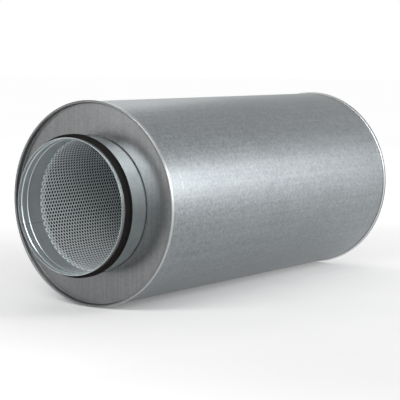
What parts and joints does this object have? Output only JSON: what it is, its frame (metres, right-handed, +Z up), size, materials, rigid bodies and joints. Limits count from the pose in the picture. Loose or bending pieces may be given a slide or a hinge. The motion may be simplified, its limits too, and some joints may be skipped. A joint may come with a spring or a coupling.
{
  "type": "duct sound attenuator",
  "caption": "Round galvanised duct silencer: a wool-packed casing round a perforated liner, with a lip-sealed spigot on each end cap that plugs into a round duct.",
  "frame": {"origin": "middle of the attenuator, on the duct axis halfway between the two mouths", "axes": "+X along the duct axis towards the rear spigot, +Z up as the attenuator lies in the picture"},
  "size_m": [0.7, 0.3038, 0.3039],
  "materials": {
    "casing_zinc": "hot-dip galvanised sheet, faint rolling streaks",
    "cap_zinc": "galvanised sheet with a fine upright grain",
    "spigot_zinc": "bright galvanised sheet, roll formed",
    "seal_rubber": "black elastomer, double lip",
    "liner_zinc": "perforated galvanised sheet",
    "fleece": "black glass fleece",
    "wool": "mineral wool"
  },
  "bodies": {
    "root": {"outer_casing": "casing_zinc", "front_end_cap": "cap_zinc", "rear_end_cap": "cap_zinc", "front_spigot": "spigot_zinc", "rear_spigot": "spigot_zinc", "front_seal": "seal_rubber", "rear_seal": "seal_rubber", "perforated_liner": "liner_zinc", "glass_fleece": "fleece", "wool_pack": "wool"}
  },
  "joints": []
}
